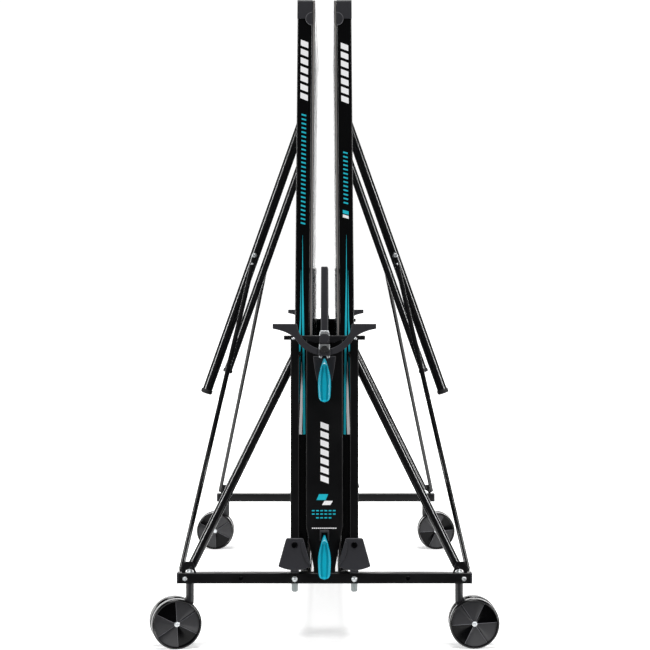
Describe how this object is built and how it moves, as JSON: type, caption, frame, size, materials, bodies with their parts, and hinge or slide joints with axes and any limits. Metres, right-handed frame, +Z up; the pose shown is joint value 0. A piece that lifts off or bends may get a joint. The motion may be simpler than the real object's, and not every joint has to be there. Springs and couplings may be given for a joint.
{
  "type": "folding table-tennis table",
  "caption": "Outdoor table-tennis table folded upright on a wheeled trolley, with sliding pivots, swing-down legs, link rods, a net and swivel casters.",
  "frame": {"origin": "on the floor under the middle of the trolley, at the bottom centre of the folded object", "axes": "+X along the length of the opened table, +Y across it from the front column to the rear column, +Z up"},
  "size_m": [0.837, 1.6785, 1.55],
  "materials": {
    "powder_coat": "black powder coat, satin, on steel tube and pressings",
    "apron_coat": "black enamel on pressed steel, semi-gloss",
    "playing_surface": "melamine resin board, matt anthracite with white lines",
    "dark_plastic": "moulded polyamide, fine grain",
    "gloss_plastic": "polished moulded plastic",
    "teal_plastic": "moulded plastic, semi-gloss teal",
    "zinc": "bright zinc plate",
    "netting": "knotless polyester net with a white tape"
  },
  "bodies": {
    "trolley": {"cross_rail_front": "powder_coat", "guide_tube_front_left": "powder_coat", "guide_tube_front_right": "powder_coat", "column_cover_front": "powder_coat", "net_bow_front": "dark_plastic", "net_post_front": "dark_plastic", "net_clamp_front": "zinc", "cross_rail_rear": "powder_coat", "guide_tube_rear_left": "powder_coat", "guide_tube_rear_right": "powder_coat", "column_cover_rear": "powder_coat", "net_bow_rear": "dark_plastic", "net_post_rear": "dark_plastic", "net_clamp_rear": "zinc", "floor_beam_left": "powder_coat", "floor_beam_right": "powder_coat", "net": "netting"},
    "sliders_left": {"slider_front_left": "dark_plastic", "slider_rear_left": "dark_plastic"},
    "half_left": {"board_left": "playing_surface", "side_apron_front_left": "apron_coat", "side_apron_rear_left": "apron_coat", "net_end_apron_left": "apron_coat", "outer_end_apron_left": "apron_coat", "leg_stretcher_left": "powder_coat"},
    "legs_left": {"leg_front_left": "powder_coat", "leg_rear_left": "powder_coat", "leg_shaft_left": "powder_coat"},
    "rocker_arms_left": {"rocker_arm_front_left": "powder_coat", "rocker_arm_rear_left": "powder_coat"},
    "link_rods_left": {"link_rod_front_left": "powder_coat", "link_rod_rear_left": "powder_coat"},
    "sliders_right": {"slider_front_right": "dark_plastic", "slider_rear_right": "dark_plastic"},
    "half_right": {"board_right": "playing_surface", "side_apron_front_right": "apron_coat", "side_apron_rear_right": "apron_coat", "net_end_apron_right": "apron_coat", "outer_end_apron_right": "apron_coat", "leg_stretcher_right": "powder_coat"},
    "legs_right": {"leg_front_right": "powder_coat", "leg_rear_right": "powder_coat", "leg_shaft_right": "powder_coat"},
    "rocker_arms_right": {"rocker_arm_front_right": "powder_coat", "rocker_arm_rear_right": "powder_coat"},
    "link_rods_right": {"link_rod_front_right": "powder_coat", "link_rod_rear_right": "powder_coat"},
    "upper_lever_front": {"upper_lever_front": "teal_plastic"},
    "lower_lever_front": {"lower_lever_front": "teal_plastic"},
    "upper_lever_rear": {"upper_lever_rear": "teal_plastic"},
    "lower_lever_rear": {"lower_lever_rear": "teal_plastic"},
    "caster_front_left": {"caster_fork_front_left": "gloss_plastic"},
    "wheels_front_left": {"twin_wheels_front_left": "gloss_plastic"},
    "caster_front_right": {"caster_fork_front_right": "gloss_plastic"},
    "wheels_front_right": {"twin_wheels_front_right": "gloss_plastic"},
    "caster_rear_left": {"caster_fork_rear_left": "gloss_plastic"},
    "wheels_rear_left": {"twin_wheels_rear_left": "gloss_plastic"},
    "caster_rear_right": {"caster_fork_rear_right": "gloss_plastic"},
    "wheels_rear_right": {"twin_wheels_rear_right": "gloss_plastic"}
  },
  "joints": [
    {"name": "slide_left", "type": "slide", "parent": "trolley", "child": "sliders_left", "axis": [0, 0, 1], "range_m": [0, 0.4755]},
    {"name": "fold_left", "type": "hinge", "parent": "sliders_left", "child": "half_left", "pos_m": [-0.071, 0, 0.248], "axis": [0, -1, 0], "range_deg": [0, 90.5]},
    {"name": "leg_swing_left", "type": "hinge", "parent": "half_left", "child": "legs_left", "pos_m": [-0.06211, 0, 1.26696], "axis": [0, -1, 0], "range_deg": [-71.1, 0]},
    {"name": "arm_swing_left", "type": "hinge", "parent": "trolley", "child": "rocker_arms_left", "pos_m": [-0.31851, 0, 0.19], "axis": [0, -1, 0], "range_deg": [0, 47.85]},
    {"name": "rod_swing_left", "type": "hinge", "parent": "trolley", "child": "link_rods_left", "pos_m": [-0.34286, 0, 0.1845], "axis": [0, -1, 0], "range_deg": [0, 88.2]},
    {"name": "slide_right", "type": "slide", "parent": "trolley", "child": "sliders_right", "axis": [0, 0, 1], "range_m": [0, 0.4755]},
    {"name": "fold_right", "type": "hinge", "parent": "sliders_right", "child": "half_right", "pos_m": [0.071, 0, 0.248], "axis": [0, 1, 0], "range_deg": [0, 90.5]},
    {"name": "leg_swing_right", "type": "hinge", "parent": "half_right", "child": "legs_right", "pos_m": [0.06211, 0, 1.26696], "axis": [0, 1, 0], "range_deg": [-71.1, 0]},
    {"name": "arm_swing_right", "type": "hinge", "parent": "trolley", "child": "rocker_arms_right", "pos_m": [0.31851, 0, 0.19], "axis": [0, 1, 0], "range_deg": [0, 47.85]},
    {"name": "rod_swing_right", "type": "hinge", "parent": "trolley", "child": "link_rods_right", "pos_m": [0.34286, 0, 0.1845], "axis": [0, 1, 0], "range_deg": [0, 88.2]},
    {"name": "upper_lever_front_pull", "type": "hinge", "parent": "trolley", "child": "upper_lever_front", "pos_m": [0, -0.8163, 0.6893], "axis": [-1, 0, 0], "range_deg": [0, 22], "stiffness_Nm_per_rad": 0.6},
    {"name": "lower_lever_front_pull", "type": "hinge", "parent": "trolley", "child": "lower_lever_front", "pos_m": [0, -0.8163, 0.268], "axis": [-1, 0, 0], "range_deg": [0, 22], "stiffness_Nm_per_rad": 0.6},
    {"name": "upper_lever_rear_pull", "type": "hinge", "parent": "trolley", "child": "upper_lever_rear", "pos_m": [0, 0.8163, 0.6893], "axis": [1, 0, 0], "range_deg": [0, 22], "stiffness_Nm_per_rad": 0.6},
    {"name": "lower_lever_rear_pull", "type": "hinge", "parent": "trolley", "child": "lower_lever_rear", "pos_m": [0, 0.8163, 0.268], "axis": [1, 0, 0], "range_deg": [0, 22], "stiffness_Nm_per_rad": 0.6},
    {"name": "swivel_front_left", "type": "hinge", "parent": "trolley", "child": "caster_front_left", "pos_m": [-0.322, -0.79, 0.13], "axis": [0, 0, 1], "continuous": true},
    {"name": "roll_front_left", "type": "hinge", "parent": "caster_front_left", "child": "wheels_front_left", "pos_m": [-0.35624, -0.79728, 0.0595], "axis": [0.2079, -0.9781, 0], "continuous": true},
    {"name": "swivel_front_right", "type": "hinge", "parent": "trolley", "child": "caster_front_right", "pos_m": [0.322, -0.79, 0.13], "axis": [0, 0, 1], "continuous": true},
    {"name": "roll_front_right", "type": "hinge", "parent": "caster_front_right", "child": "wheels_front_right", "pos_m": [0.357, -0.79, 0.0595], "axis": [0, 1, 0], "continuous": true},
    {"name": "swivel_rear_left", "type": "hinge", "parent": "trolley", "child": "caster_rear_left", "pos_m": [-0.322, 0.79, 0.13], "axis": [0, 0, 1], "continuous": true},
    {"name": "roll_rear_left", "type": "hinge", "parent": "caster_rear_left", "child": "wheels_rear_left", "pos_m": [-0.357, 0.79, 0.0595], "axis": [0, -1, 0], "continuous": true},
    {"name": "swivel_rear_right", "type": "hinge", "parent": "trolley", "child": "caster_rear_right", "pos_m": [0.322, 0.79, 0.13], "axis": [0, 0, 1], "continuous": true},
    {"name": "roll_rear_right", "type": "hinge", "parent": "caster_rear_right", "child": "wheels_rear_right", "pos_m": [0.357, 0.79, 0.0595], "axis": [0, 1, 0], "continuous": true}
  ],
  "couplings": [
    {"joint": "slide_left", "follows": "fold_left", "m_per_rad": 0.30072},
    {"joint": "leg_swing_left", "follows": "fold_left", "ratio": -0.78453},
    {"joint": "arm_swing_left", "follows": "fold_left", "ratio": 0.52757},
    {"joint": "rod_swing_left", "follows": "fold_left", "ratio": 0.97345},
    {"joint": "slide_right", "follows": "fold_right", "m_per_rad": 0.30072},
    {"joint": "leg_swing_right", "follows": "fold_right", "ratio": -0.78453},
    {"joint": "arm_swing_right", "follows": "fold_right", "ratio": 0.52757},
    {"joint": "rod_swing_right", "follows": "fold_right", "ratio": 0.97345}
  ]
}
